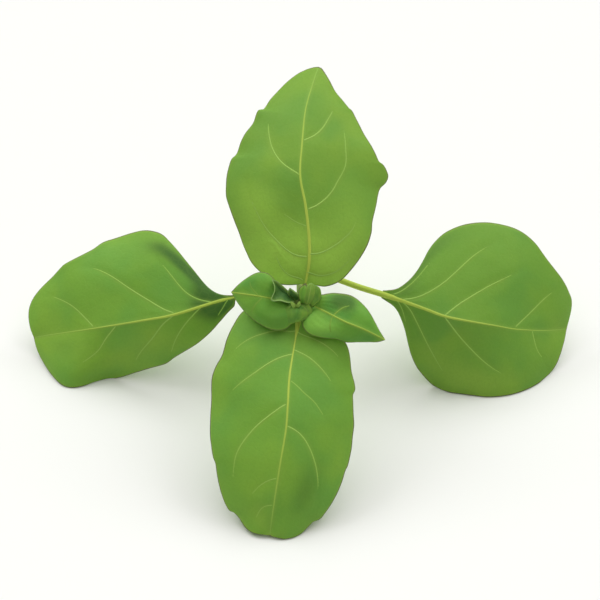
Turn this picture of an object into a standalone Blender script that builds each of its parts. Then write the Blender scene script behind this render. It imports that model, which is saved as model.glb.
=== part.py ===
"""Basil shoot tip: a stem with two pairs of broad leaves, one small pair and a bud.

The shoot lies on its side on a flat surface. Points are in millimetres in a
leaning frame: across to the right, up the face of the shoot, and out of the
face. The face leans back by LEAN from upright, and the whole shoot is then
turned into the world frame, with Z up and the surface at Z = 0.
"""
import math

import bmesh
import bpy

LEAN = math.radians(45.0)
# Height of the upper leaf pair's joint over the surface, and the shift that
# centres the shoot over the origin.
JOINT_HEIGHT = 40.0
CENTRE_X = -0.4
CENTRE_Y = 5.1
BLADE_THICK = 0.7
STALK_RADIUS = 0.9
KEEL_DEPTH = 0.8
# Places across half a blade, from the midrib (0) to the edge (1).
ACROSS = (0.0, 0.06, 0.24, 0.46, 0.68, 0.87, 1.0)

for old in list(bpy.data.objects):
    bpy.data.objects.remove(old)


def world(point):
    """Leaning frame in millimetres to world frame in metres."""
    across, up, out = point
    depth = up * math.sin(LEAN) - out * math.cos(LEAN)
    height = up * math.cos(LEAN) + out * math.sin(LEAN) + JOINT_HEIGHT
    return ((across - CENTRE_X) / 1000, (depth - CENTRE_Y) / 1000, height / 1000)


def add(a, b, scale=1.0):
    return tuple(p + q * scale for p, q in zip(a, b))


def unit(a):
    size = math.sqrt(sum(p * p for p in a)) or 1.0
    return tuple(p / size for p in a)


def cross(a, b):
    return (
        a[1] * b[2] - a[2] * b[1],
        a[2] * b[0] - a[0] * b[2],
        a[0] * b[1] - a[1] * b[0],
    )


def blend(a, b, part):
    return tuple(p + (q - p) * part for p, q in zip(a, b))


def smooth_line(points, steps):
    """A smooth line through the points, cut into even steps by length."""
    ends = [add(points[0], add(points[0], points[1], -1.0))]
    ends += list(points)
    ends.append(add(points[-1], add(points[-1], points[-2], -1.0)))
    fine = []
    for i in range(1, len(ends) - 2):
        a, b, c, d = ends[i - 1 : i + 3]
        for j in range(24):
            t = j / 24
            fine.append(
                tuple(
                    0.5
                    * (
                        2 * q
                        + (r - p) * t
                        + (2 * p - 5 * q + 4 * r - s) * t * t
                        + (3 * q - p - 3 * r + s) * t * t * t
                    )
                    for p, q, r, s in zip(a, b, c, d)
                )
            )
    fine.append(tuple(points[-1]))
    reach = [0.0]
    for a, b in zip(fine, fine[1:]):
        reach.append(reach[-1] + math.dist(a, b))
    line = []
    spot = 0
    for i in range(steps + 1):
        want = reach[-1] * i / steps
        while spot < len(fine) - 2 and reach[spot + 1] < want:
            spot += 1
        part = (want - reach[spot]) / (reach[spot + 1] - reach[spot])
        line.append(blend(fine[spot], fine[spot + 1], part))
    return line


def tooth_at(place, teeth):
    """How far the teeth push the edge out, rising slowly towards the tip."""
    push = 0.0
    for spot, size in teeth:
        gap = place - spot
        if -0.05 < gap <= 0.0:
            push += size * (1 + gap / 0.05)
        elif 0.0 < gap < 0.012:
            push += size * (1 - gap / 0.012)
    return push


def plain_material(name, colour, rough):
    material = bpy.data.materials.new(name)
    material.use_nodes = True
    shader = material.node_tree.nodes["Principled BSDF"]
    shader.inputs["Base Color"].default_value = (*colour, 1.0)
    shader.inputs["Roughness"].default_value = rough
    return material


LEAF_GREEN = plain_material("leaf", (0.165, 0.330, 0.045), 0.45)
YOUNG_GREEN = plain_material("young_leaf", (0.130, 0.290, 0.045), 0.45)
STEM_GREEN = plain_material("stem", (0.390, 0.500, 0.070), 0.50)


def make_object(name, points, faces, material):
    """An object from points in the leaning frame, with its faces turned outwards."""
    mesh = bpy.data.meshes.new(name)
    mesh.from_pydata([world(p) for p in points], [], faces)
    shape = bmesh.new()
    shape.from_mesh(mesh)
    bmesh.ops.recalc_face_normals(shape, faces=shape.faces)
    shape.to_mesh(mesh)
    shape.free()
    mesh.materials.append(material)
    thing = bpy.data.objects.new(name, mesh)
    bpy.context.scene.collection.objects.link(thing)
    return thing


def press(point, least):
    """Lift a point up to the height given, so that what rests lies flat."""
    across, up, out = point
    height = up * math.cos(LEAN) + out * math.sin(LEAN) + JOINT_HEIGHT
    if height >= least:
        return point
    lift = least - height
    return (across, up + lift * math.cos(LEAN), out + lift * math.sin(LEAN))


def leaf(name, stalk, rib, left, right, rows, material, **form):
    """One leaf: a stalk, then a blade between the midrib and its two edges.

    Left and right are as seen on the upper face, walking out along the
    midrib. Each row joins even places of the two edges and the midrib.
    """
    arch = form.get("arch", 1.6)
    wave = form.get("wave", 0.5)
    waves = form.get("waves", 3.0)
    half = form.get("thick", BLADE_THICK) / 2
    radius = form.get("radius", STALK_RADIUS)
    keel = form.get("keel", KEEL_DEPTH)
    cols = len(ACROSS) - 1
    centre = []
    extra = []
    if stalk:
        line = smooth_line(list(stalk) + [rib[0]], form["stalk_rows"])
        for i, spot in enumerate(line[:-1]):
            ahead = unit(add(line[i + 1], line[max(i - 1, 0)], -1.0))
            side = unit(cross((0.0, 0.0, 1.0), ahead))
            row = []
            thick = []
            for j in range(-cols, cols + 1):
                turn = math.radians(90.0) * j / cols
                row.append(add(spot, side, -radius * math.sin(turn)))
                thick.append(radius * 0.25 + radius * 0.6 * math.cos(turn))
            centre.append(row)
            extra.append(thick)
    middle = smooth_line(rib, rows)
    edges = (smooth_line(left, rows), smooth_line(right, rows))
    teeth = (form.get("teeth_left", ()), form.get("teeth_right", ()))
    broad = max(math.dist(a, b) for a, b in zip(middle, edges[0]))
    for i in range(rows + 1):
        row = []
        thick = []
        place = i / rows
        for j in range(-cols, cols + 1):
            which = 0 if j < 0 else 1
            part = ACROSS[abs(j)]
            edge = edges[which][i]
            width = math.dist(middle[i], edge)
            if 0 < i < rows:
                push = tooth_at(place, teeth[which])
                edge = add(edge, unit(add(edge, middle[i], -1.0)), push)
            if i == rows:
                ahead = add(middle[i], middle[i - 1], -1.0)
                side = unit(cross(ahead, (0.0, 0.0, 1.0)))
                edge = add(middle[i], side, -0.5 if j < 0 else 0.5)
            spot = blend(middle[i], edge, part)
            rise = arch * width / broad * math.sin(math.pi * part ** 0.8)
            turn = waves * 2 * math.pi * place + which * 2.0
            rise += wave * part ** 3 * math.sin(turn) * min(1.0, width / 6)
            row.append(add(spot, (0.0, 0.0, rise)))
            deep = keel * (1 - place) if j == 0 else 0.0
            thick.append(half + deep)
        centre.append(row)
        extra.append(thick)
    last = len(centre) - 1
    top = []
    bottom = []
    for i, row in enumerate(centre):
        for j, spot in enumerate(row):
            along = add(centre[min(i + 1, last)][j], centre[max(i - 1, 0)][j], -1.0)
            over = add(row[min(j + 1, 2 * cols)], row[max(j - 1, 0)], -1.0)
            face = unit(cross(over, along))
            if face[2] < 0:
                face = add((0.0, 0.0, 0.0), face, -1.0)
            upper = extra[i][j] if i < last - rows else half
            lower = extra[i][j]
            bottom.append(press(add(spot, face, -lower), 0.0))
            top.append(press(add(spot, face, upper), 0.62))
    wide = 2 * cols + 1
    count = len(top)
    faces = []
    for i in range(last):
        for j in range(2 * cols):
            a = i * wide + j
            b, c, d = a + 1, a + wide + 1, a + wide
            halves = ((a, b, d), (b, c, d))
            if (i + j) % 2:
                halves = ((a, b, c), (a, c, d))
            for tri in halves:
                faces.append(tri)
                faces.append(tuple(q + count for q in reversed(tri)))
    rim = [j for j in range(wide)]
    rim += [i * wide + wide - 1 for i in range(1, last + 1)]
    rim += [last * wide + j for j in range(wide - 2, -1, -1)]
    rim += [i * wide for i in range(last - 1, 0, -1)]
    for a, b in zip(rim, rim[1:] + rim[:1]):
        faces.append((b, a, a + count))
        faces.append((b, a + count, b + count))
    return make_object(name, top + bottom, faces, material)


# The stem lies towards the back, from its cut end on the surface up to the
# bud. It is squarish, and swells where each pair of leaves sits.
stem_path = smooth_line(
    [(3, 19.3, -74), (1.5, 14.5, -49), (0, 8.6, -24), (0, 4.2, -12), (0, 0, 0), (0, -1, 4)],
    26,
)
stem_points = []
stem_faces = []
sides = 12
# The stem thickens where each pair of leaves sits, and thins towards the bud.
for i, spot in enumerate(stem_path):
    ahead = unit(add(stem_path[min(i + 1, 26)], stem_path[max(i - 1, 0)], -1.0))
    first = unit(cross(ahead, (0.0, 1.0, 0.0)))
    second = cross(ahead, first)
    swell = 0.35 * math.exp(-((spot[2] + 24) / 2.5) ** 2)
    swell += 0.35 * math.exp(-((spot[2] - 0) / 2.0) ** 2)
    radius = 1.5 + swell - 0.3 * max(0.0, i - 22) / 4
    for j in range(sides):
        turn = 2 * math.pi * j / sides
        reach = radius * (1 + 0.07 * math.cos(4 * turn))
        place = add(spot, first, reach * math.cos(turn))
        stem_points.append(press(add(place, second, reach * math.sin(turn)), 0.0))
for i in range(26):
    for j in range(sides):
        a = i * sides + j
        b = i * sides + (j + 1) % sides
        stem_faces.append((a, b, b + sides))
        stem_faces.append((a, b + sides, a + sides))
for ring in (0, 26):
    around = stem_points[ring * sides : (ring + 1) * sides]
    stem_points.append(tuple(sum(values) / sides for values in zip(*around)))
    for j in range(sides):
        stem_faces.append((ring * sides + j, ring * sides + (j + 1) % sides, len(stem_points) - 1))
make_object("stem", stem_points, stem_faces, STEM_GREEN)

# Upper pair of broad leaves: one points up the face, one down to the surface.
leaf(
    "leaf_back",
    [(0.4, 2.9, 0.6)],
    [(1, 5, 2), (2, 11, 4), (2, 18, 6), (1, 27, 7), (-0.5, 35.5, 6.5), (0, 44.5, 4), (1, 54.5, -0.5),
     (3, 62, -5), (5, 67.5, -9)],
    [(0, 5, 1.8), (-3, 4.5, 1.5), (-7, 5.5, 1), (-12, 8.5, 0.5), (-16, 14, 0), (-18.5, 22, -1),
     (-21, 28, -1.5), (-21.5, 34, -2), (-20.5, 41, -3), (-17.5, 46, -4), (-13, 53.5, -5.5),
     (-8, 59, -7), (-2.5, 64.5, -8.5), (5, 67.5, -9)],
    [(2, 5, 1.8), (5.5, 4, 1.5), (10, 5, 1), (14.5, 9.5, 0.5), (18.5, 15.5, 0), (20.5, 23, -1),
     (21.5, 29.5, -2), (24, 36.5, -4), (21.5, 41, -3), (18, 47.5, -4), (14.5, 54, -5),
     (11, 59, -6.5), (8, 64, -8), (5, 67.5, -9)],
    25,
    LEAF_GREEN,
    stalk_rows=2,
    teeth_left=((0.32, 0.3), (0.4, 0.4), (0.56, 0.5), (0.64, 0.3), (0.76, 0.6), (0.88, 0.3)),
    teeth_right=((0.32, 0.3), (0.44, 0.3), (0.56, 0.6), (0.68, 0.3), (0.8, 0.4), (0.88, 0.3)),
)
leaf(
    "leaf_front",
    [(-0.3, -2.9, 1.6)],
    [(-1, -5.5, 4), (-2, -11.5, 7), (-3.5, -21, 11), (-4, -29, 13.5), (-4.5, -36, 14.5), (-6, -45, 15),
     (-7.5, -54.5, 14), (-8.5, -61.5, 12), (-9, -66, 9.8), (-9, -68, 11.8)],
    [(0, -5.5, 4), (5.5, -6.5, 5), (10.5, -10, 6), (13.5, -16, 6.5), (14.5, -24, 7), (14.5, -31, 7.5),
     (14.5, -38, 8), (12.5, -47.5, 8.5), (10, -54.5, 8.5), (5.5, -61, 8.5), (1, -65, 8.5),
     (-4, -67.5, 10), (-9, -68, 11.8)],
    [(-2, -5.2, 4), (-9, -3, 5), (-15.5, -3.5, 5), (-20.5, -10, 5.5), (-24, -18, 6), (-25.5, -28, 6.5),
     (-26, -36.5, 7.5), (-24.5, -45.5, 8.5), (-22.5, -54.5, 8.5), (-19, -60, 8.5), (-16, -64, 8.5),
     (-12.5, -67, 10), (-9, -68, 11.8)],
    25,
    LEAF_GREEN,
    stalk_rows=2,
    teeth_left=((0.32, 0.3), (0.44, 0.4), (0.56, 0.3), (0.68, 0.4), (0.8, 0.4), (0.88, 0.3)),
    teeth_right=((0.4, 0.3), (0.52, 0.3), (0.64, 0.4), (0.8, 0.5), (0.88, 0.4)),
)

# Lower pair of broad leaves, on long stalks that arch out to the two sides.
leaf(
    "leaf_left",
    [(-2.8, 8.6, -24), (-6.5, 6.8, -23), (-13, 3.8, -22.5)],
    [(-20, 1, -22), (-26, -0.5, -21.5), (-37.5, -4, -21.5), (-45.5, -5.5, -23), (-54.5, -7, -25.5),
     (-64.5, -8.5, -29.5), (-73.5, -9, -35), (-82, -5.5, -41)],
    [(-20.3, 0, -22), (-23, -4.5, -22.5), (-27.5, -9, -24), (-35.5, -15, -27), (-41, -19, -29.5),
     (-50.5, -21, -32), (-57.5, -23.5, -33.5), (-64, -25.5, -32), (-69, -25.5, -31.5),
     (-73.5, -23, -33), (-77.5, -18, -36), (-80.5, -11, -39.5), (-82, -5.5, -41)],
    [(-20, 2, -22), (-23.5, 1.8, -22.3), (-28.5, 4.5, -23.5), (-35, 12.5, -27), (-40, 18.5, -29),
     (-45.5, 20.5, -30), (-51.5, 20, -31.5), (-58, 18, -33), (-64.5, 14.5, -34.5), (-71.5, 11, -36.5),
     (-77, 5.5, -39), (-81, 1, -41), (-82, -2.5, -41.5), (-82, -5.5, -41)],
    25,
    LEAF_GREEN,
    stalk_rows=7,
    teeth_left=((0.32, 0.3), (0.44, 0.3), (0.56, 0.3), (0.68, 0.3), (0.8, 0.3), (0.92, 0.3)),
    teeth_right=((0.4, 0.3), (0.48, 0.3), (0.6, 0.3), (0.72, 0.3), (0.84, 0.3)),
)
leaf(
    "leaf_right",
    [(2.8, 8.8, -24), (6, 8, -23), (11.5, 6, -22), (17, 4, -21.5)],
    [(23.5, 2, -21), (29.5, 0, -20.5), (36.5, -2.5, -20), (42, -4.5, -20), (49.5, -6, -21),
     (56.5, -7, -23.5), (63.5, -8.5, -27), (72.5, -8, -32), (79, -4, -37.5), (81, -0.5, -39.5)],
    [(23.8, 3, -21), (28, 4, -21.5), (31.5, 7, -23), (37, 15, -26), (40.5, 18.5, -27.5), (47, 22, -29.5),
     (56, 23.5, -31.5), (63, 21.5, -33), (70.5, 15.5, -35), (77.5, 7.5, -37.5), (80, 3.5, -39),
     (81, -0.5, -39.5)],
    [(23.3, 1, -21), (26, -0.5, -21.5), (29, -6.5, -23.5), (30.5, -11, -25), (33, -18, -28),
     (38.5, -25, -31.5), (43.5, -27.5, -29.5), (48.5, -28.5, -29), (54, -28.5, -28.5),
     (60, -28.5, -29), (64.5, -27.5, -30), (69.5, -24.5, -32), (73.5, -21, -34.5),
     (77, -15.5, -36.5), (79.5, -7.5, -38.5), (81, -0.5, -39.5)],
    25,
    LEAF_GREEN,
    stalk_rows=7,
    teeth_left=((0.4, 0.2), (0.52, 0.3), (0.64, 0.3), (0.76, 0.2), (0.88, 0.3)),
    teeth_right=((0.32, 0.2), (0.44, 0.3), (0.56, 0.3), (0.68, 0.3), (0.8, 0.2), (0.88, 0.3)),
)

# Small pair above the joint, spread to the left and the right of the bud.
leaf(
    "small_leaf_right",
    [(2.2, -0.7, 4.2)],
    [(3.0, -1.1, 6.0), (4.3, -1.8, 8.2), (5.6, -2.5, 9.6), (8.5, -4, 10.5), (12.5, -6, 11.5), (17.5, -8, 11), (23.5, -11, 8.5)],
    [(3.1, -0.6, 6.0), (3.8, 0.9, 7.8), (4.7, 3.0, 8.8), (5.6, 3.5, 9), (6.9, 2.5, 9.4), (9.5, 2.1, 9), (13.5, 1.5, 8.5), (16.5, -0.5, 8.5),
     (19, -3.5, 8.5), (21.5, -8, 8.5), (23.5, -11, 8.5)],
    [(2.7, -1.6, 6.0), (1.7, -3.3, 7.4), (0.5, -5, 8), (0.3, -7, 8.6), (1.9, -9.1, 9.2), (5.5, -10.2, 9.5), (9.5, -10.5, 9), (12.5, -11.5, 8.5),
     (16, -11.5, 8.5), (19, -11.5, 8.5), (21.5, -11.5, 8.5), (23.5, -11, 8.5)],
    14,
    YOUNG_GREEN,
    stalk_rows=2,
    radius=0.6,
    keel=0.4,
    arch=1.2,
    wave=0.3,
    teeth_left=((0.5, 0.3), (0.78, 0.3)),
    teeth_right=((0.43, 0.3), (0.71, 0.3)),
)
leaf(
    "small_leaf_left",
    [(-2.2, -0.6, 4.2)],
    [(-3.0, -0.4, 6.0), (-4.6, 0.1, 8.2), (-6.5, 0.5, 9.2), (-9, 0.8, 10), (-13, 1.5, 11), (-16.5, 2, 10), (-20, 2.5, 8)],
    [(-2.8, -0.9, 6.0), (-2.5, -2.6, 7.4), (-2.6, -4.6, 8.2), (-3.4, -6.8, 8.8), (-5.5, -8.1, 9.2), (-8.8, -7.9, 9.8), (-12.5, -6, 9.5),
     (-14.5, -4.5, 9), (-16, -3, 8.5), (-18, -0.5, 8), (-20, 2.5, 8)],
    [(-3.2, 0.2, 6.0), (-4.4, 1.7, 7.8), (-6, 3.4, 8.8), (-7.5, 5.5, 9.5), (-9.5, 7.5, 10), (-11.5, 8, 10), (-13.5, 7.5, 9.5),
     (-16, 6, 9), (-18.5, 4, 8.5), (-20, 2.5, 8)],
    14,
    YOUNG_GREEN,
    stalk_rows=2,
    radius=0.6,
    keel=0.4,
    arch=1.0,
    wave=0.3,
    teeth_left=((0.5, 0.3), (0.78, 0.3)),
    teeth_right=((0.5, 0.3), (0.78, 0.3)),
)

# The bud at the end of the stem: a small core with its folded first leaves,
# grown together as one piece.
core_points = []
core_faces = []
core_rings = ((5.0, 0.5), (5.4, 1.1), (6.6, 1.5), (8.0, 1.4), (9.2, 1.0), (9.8, 0.4))
for out, radius in core_rings:
    for j in range(10):
        turn = 2 * math.pi * j / 10
        core_points.append((-0.2 + radius * math.cos(turn), -0.4 + radius * math.sin(turn), out))
for i in range(len(core_rings) - 1):
    for j in range(10):
        a = i * 10 + j
        b = i * 10 + (j + 1) % 10
        core_faces.append((a, b, b + 10, a + 10))
core_faces.append(tuple(range(9, -1, -1)))
core_faces.append(tuple(range(50, 60)))
bud = make_object("bud", core_points, core_faces, YOUNG_GREEN)
tiny_leaves = [
    leaf(
        "bud_leaf_right",
        (),
        [(0.2, 0.2, 7.0), (1.6, 1.4, 10.2), (2.4, 3.4, 11.6), (2.4, 5.8, 11.4)],
        [(-0.3, 0.5, 7.0), (-0.6, 2.6, 9.8), (0, 4.8, 11.0), (2.4, 5.8, 11.4)],
        [(0.7, -0.1, 7.0), (3.8, 0.2, 9.8), (5, 2.8, 11), (2.4, 5.8, 11.4)],
        6,
        YOUNG_GREEN,
        arch=0.3,
        wave=0.0,
        thick=0.6,
        keel=0.0,
    ),
    leaf(
        "bud_leaf_left",
        (),
        [(-0.8, 0, 7.4), (-3, 1.0, 10.2), (-5.5, 2.4, 11.6), (-8, 4, 12)],
        [(-0.7, -0.8, 7.4), (-3.4, -0.8, 10.6), (-6, 0, 12.4), (-8.6, 0.8, 12.8), (-8, 4, 12)],
        [(-0.5, 0.6, 7.4), (-2.2, 2.4, 10.6), (-5.4, 4.4, 12.4), (-8.8, 7, 12.8), (-8, 4, 12)],
        7,
        YOUNG_GREEN,
        arch=-0.4,
        wave=0.0,
        thick=0.6,
        keel=0.0,
    ),
    leaf(
        "bud_leaf_front",
        (),
        [(-0.3, -0.9, 7.0), (-0.8, -2.8, 9.8), (-1.2, -4.8, 10.6), (-1.5, -6.8, 9.9)],
        [(0.3, -0.9, 7.0), (1.5, -1.5, 8.2), (1.4, -3.6, 9.4), (0.6, -5.2, 10), (-1.5, -6.8, 9.9)],
        [(-0.9, -0.9, 7.0), (-2.3, -1.3, 8.2), (-2.8, -3.4, 9.4), (-2.8, -5, 10), (-1.5, -6.8, 9.9)],
        6,
        YOUNG_GREEN,
        arch=0.3,
        wave=0.0,
        thick=0.6,
        keel=0.0,
    ),
    leaf(
        "bud_leaf_back",
        (),
        [(-0.9, 0.6, 8.0), (-1.8, 2.1, 9.8), (-3.4, 4.4, 10.4)],
        [(-1.4, 0.8, 8.0), (-2.8, 2.7, 9.6), (-3.4, 4.4, 10.4)],
        [(-0.4, 0.5, 8.0), (-1.0, 1.8, 9.6), (-3.4, 4.4, 10.4)],
        4,
        YOUNG_GREEN,
        arch=0.1,
        wave=0.0,
        thick=0.6,
        keel=0.0,
    ),
]
for tiny in tiny_leaves:
    join = bud.modifiers.new(tiny.name, "BOOLEAN")
    join.operation = "UNION"
    join.solver = "EXACT"
    join.object = tiny
    tiny.hide_render = True
    tiny.display_type = "WIRE"
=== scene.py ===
import math

import bmesh
import bpy
from mathutils import Matrix, Vector, kdtree, noise


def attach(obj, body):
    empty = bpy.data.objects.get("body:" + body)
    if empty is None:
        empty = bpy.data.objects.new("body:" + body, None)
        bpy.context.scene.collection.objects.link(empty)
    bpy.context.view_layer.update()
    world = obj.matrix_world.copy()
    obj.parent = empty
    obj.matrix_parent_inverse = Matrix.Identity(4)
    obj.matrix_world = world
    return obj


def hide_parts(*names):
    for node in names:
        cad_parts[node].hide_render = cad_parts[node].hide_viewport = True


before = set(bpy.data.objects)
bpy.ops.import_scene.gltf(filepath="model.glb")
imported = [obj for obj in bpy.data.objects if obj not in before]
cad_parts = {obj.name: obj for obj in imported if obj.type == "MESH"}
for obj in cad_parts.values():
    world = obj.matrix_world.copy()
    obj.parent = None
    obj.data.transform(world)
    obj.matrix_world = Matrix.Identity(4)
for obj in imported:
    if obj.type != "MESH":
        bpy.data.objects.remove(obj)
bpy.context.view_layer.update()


# --------------------------------------------------------------------------
# Main stem. A squarish green stem that lies back from the bud to the surface,
# where it was cut across. It is juicy and ribbed, and swells at the two
# joints where the broad leaves grow out of it.
# --------------------------------------------------------------------------
def lean(across, up, out):
    """A point in the sprig's own leaning frame, in millimetres, put in the world."""
    turn = math.radians(45.0)
    origin_x, origin_y, origin_z = 0.4, -5.1, 40.0
    depth = up * math.sin(turn) - out * math.cos(turn) + origin_y
    height = up * math.cos(turn) + out * math.sin(turn) + origin_z
    return Vector((across + origin_x, depth, height)) / 1000


def smooth_line(points, steps):
    """An even line of steps + 1 points that runs smoothly through the points."""
    ends = [points[0] * 2 - points[1], *points, points[-1] * 2 - points[-2]]
    fine_steps = 24
    fine = []
    for a, b, c, d in zip(ends, ends[1:], ends[2:], ends[3:]):
        for t in (j / fine_steps for j in range(fine_steps)):
            bend = (a * 2 - b * 5 + c * 4 - d) * t * t + (b * 3 - a - c * 3 + d) * t * t * t
            fine.append((b * 2 + (c - a) * t + bend) / 2)
    fine.append(points[-1].copy())
    reach = [0.0]
    for a, b in zip(fine, fine[1:]):
        reach.append(reach[-1] + (b - a).length)
    line = []
    spot = 0
    for i in range(steps + 1):
        want = reach[-1] * i / steps
        while spot < len(fine) - 2 and reach[spot + 1] < want:
            spot += 1
        part = (want - reach[spot]) / (reach[spot + 1] - reach[spot])
        line.append(fine[spot].lerp(fine[spot + 1], part))
    return line


def ease(low, high, value):
    """0 below low, 1 above high, and a soft rise between them."""
    part = min(1.0, max(0.0, (value - low) / (high - low)))
    return part * part * (3 - 2 * part)


def draw_out(shape, line, radii, sides=14, ribs=0.0, finish=0, strong=1.0):
    """A closed tube along the line, its end circle extruded ring by ring.

    The fade layer goes from 1 - strong at the start to 1 at the end of the tube.
    """
    streak_pace = 30
    grain = shape.verts.layers.float_vector["grain"]
    fade = shape.verts.layers.float["fade"]
    ring = bmesh.ops.create_circle(shape, cap_ends=True, segments=sides, radius=1.0)["verts"]
    face = ring[0].link_faces[0]
    face.material_index = finish
    for vert in ring:
        turn = math.atan2(vert.co.y, vert.co.x)
        vert[grain] = (vert.co.x, vert.co.y, 0.0)
        vert.co *= 1 + ribs * math.cos(4 * turn)
    ahead = line[1] - line[0]
    stand = ahead.to_track_quat("Z", "Y").to_matrix().to_4x4()
    start = Matrix.Translation(line[0]) @ stand @ Matrix.Scale(radii[0], 4)
    bmesh.ops.transform(shape, matrix=start, verts=ring)
    length = 0.0
    for i in range(1, len(line)):
        toward = line[min(i + 1, len(line) - 1)] - line[i - 1]
        turn = ahead.rotation_difference(toward).to_matrix().to_4x4()
        grow = Matrix.Scale(radii[i] / radii[i - 1], 4)
        move = Matrix.Translation(line[i]) @ turn @ grow @ Matrix.Translation(-line[i - 1])
        last = face
        made = bmesh.ops.extrude_face_region(shape, geom=[face])["geom"]
        ring = [part for part in made if isinstance(part, bmesh.types.BMVert)]
        face = next(part for part in made if isinstance(part, bmesh.types.BMFace))
        if i > 1:
            shape.faces.remove(last)
        bmesh.ops.transform(shape, matrix=move, verts=ring)
        length += (line[i] - line[i - 1]).length
        for vert in ring:
            vert[grain] = (vert[grain][0], vert[grain][1], length * streak_pace)
            vert[fade] = 1.0 - strong * (1.0 - (i / len(line)) ** 1.8)
        ahead = toward


def new_shape():
    """An empty mesh with the layers that the sprig's materials read."""
    shape = bmesh.new()
    shape.verts.layers.float_vector.new("grain")
    for name in ("vein_gap", "edge_gap", "under", "shade_and_light_tone", "fade"):
        shape.verts.layers.float.new(name)
    return shape


def put_in_place(name, shape, materials, stands_for):
    """The finished piece: normals out, smooth, not below the floor, on its body."""
    bmesh.ops.recalc_face_normals(shape, faces=shape.faces)
    for face in shape.faces:
        face.smooth = True
    for vert in shape.verts:
        vert.co.z = max(vert.co.z, 0.0)
    mesh = bpy.data.meshes.new(name)
    shape.to_mesh(mesh)
    shape.free()
    for material in materials:
        mesh.materials.append(material)
    piece = bpy.data.objects.new(name, mesh)
    bpy.context.scene.collection.objects.link(piece)
    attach(piece, "root")
    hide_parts(stands_for)


def add_node(tree, kind, **values):
    """A shader node with its own settings, and values on its sockets by name."""
    made = tree.nodes.new("ShaderNode" + kind)
    for name, value in values.items():
        if hasattr(made, name):
            setattr(made, name, value)
        else:
            made.inputs[name.replace("_", " ")].default_value = value
    return made


def ramp(tree, value, low, high, start=0.0, end=1.0):
    """The value brought from the range low to high into start to end, softly."""
    made = add_node(tree, "MapRange", interpolation_type="SMOOTHSTEP")
    limits = {"From Min": low, "From Max": high, "To Min": start, "To Max": end}
    for name, number in limits.items():
        made.inputs[name].default_value = number
    tree.links.new(value, made.inputs["Value"])
    return made.outputs["Result"]


def tint(tree, share, below, above):
    """One colour laid over another, by the share given."""
    made = add_node(tree, "Mix", data_type="RGBA")
    factor, first, second = made.inputs[0], made.inputs[6], made.inputs[7]
    for socket, value in ((factor, share), (first, below), (second, above)):
        if isinstance(value, bpy.types.NodeSocket):
            tree.links.new(value, socket)
        elif isinstance(value, float):
            socket.default_value = value
        else:
            socket.default_value = (*value, 1.0)
    return made.outputs[2]


def read(tree, name, output="Fac"):
    """A layer of the mesh, as a socket."""
    return add_node(tree, "Attribute", attribute_name=name).outputs[output]


def stalk_material(name, bright, dull, soft=0.15, far=None):
    """Juicy green stalk with long pale and dull streaks; it fades to the far colour."""
    material = bpy.data.materials.new(name)
    material.use_nodes = True
    tree = material.node_tree
    shader = tree.nodes["Principled BSDF"]
    streak = add_node(tree, "TexNoise", Scale=2.4, Detail=3.0)
    tree.links.new(read(tree, "grain", "Vector"), streak.inputs["Vector"])
    colour = tint(tree, ramp(tree, streak.outputs["Fac"], 0.35, 0.7), bright, dull)
    if far:
        colour = tint(tree, read(tree, "fade"), colour, far)
    tree.links.new(colour, shader.inputs["Base Color"])
    rough = ramp(tree, streak.outputs["Fac"], 0.2, 0.8, 0.52, 0.62)
    tree.links.new(rough, shader.inputs["Roughness"])
    shader.inputs["Specular IOR Level"].default_value = 0.22
    bump = add_node(tree, "Bump", Strength=0.12, Distance=0.0001)
    tree.links.new(streak.outputs["Fac"], bump.inputs["Height"])
    tree.links.new(bump.outputs["Normal"], shader.inputs["Normal"])
    shader.inputs["Subsurface Weight"].default_value = soft
    shader.inputs["Subsurface Radius"].default_value = (0.6, 1.0, 0.25)
    shader.inputs["Subsurface Scale"].default_value = 0.001
    return material


STEM_GREEN = stalk_material("stem green", (0.36, 0.50, 0.085), (0.23, 0.38, 0.06))
CUT_PALE = stalk_material("cut stem", (0.50, 0.60, 0.26), (0.36, 0.48, 0.14))

stem_steps = 150
stem_sides = 32
stem_radius = 1.45
tip_loss = 0.45
lower_joint = lean(0, 8.6, -24)
upper_joint = lean(0, 0, 0)
swellings = ((lower_joint, 0.45, 0.0024), (upper_joint, 0.40, 0.0020))
stem_line = smooth_line(
    [lean(3, 19.3, -74), lean(1.5, 14.5, -49), lower_joint, lean(0, 4.2, -12),
     upper_joint, lean(-0.1, -0.7, 4), lean(-0.2, -0.5, 7)],
    stem_steps,
)
stem_radii = []
for i, spot in enumerate(stem_line):
    swell = sum(
        rise * math.exp(-((spot - joint).length / reach) ** 2) for joint, rise, reach in swellings
    )
    thinner = tip_loss * ease(stem_steps - 12, stem_steps, i)
    stem_radii.append((stem_radius + swell - thinner) / 1000)
stem_shape = new_shape()
draw_out(stem_shape, stem_line, stem_radii, sides=stem_sides, ribs=0.08)
end_faces = [face for face in stem_shape.faces if len(face.verts) == stem_sides]
cut_face = min(end_faces, key=lambda face: face.calc_center_median().z)
bmesh.ops.inset_region(stem_shape, faces=[cut_face], thickness=0.00018, use_even_offset=True)
cut_face.material_index = 1
put_in_place("stem", stem_shape, [STEM_GREEN, CUT_PALE], "stem")


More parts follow.
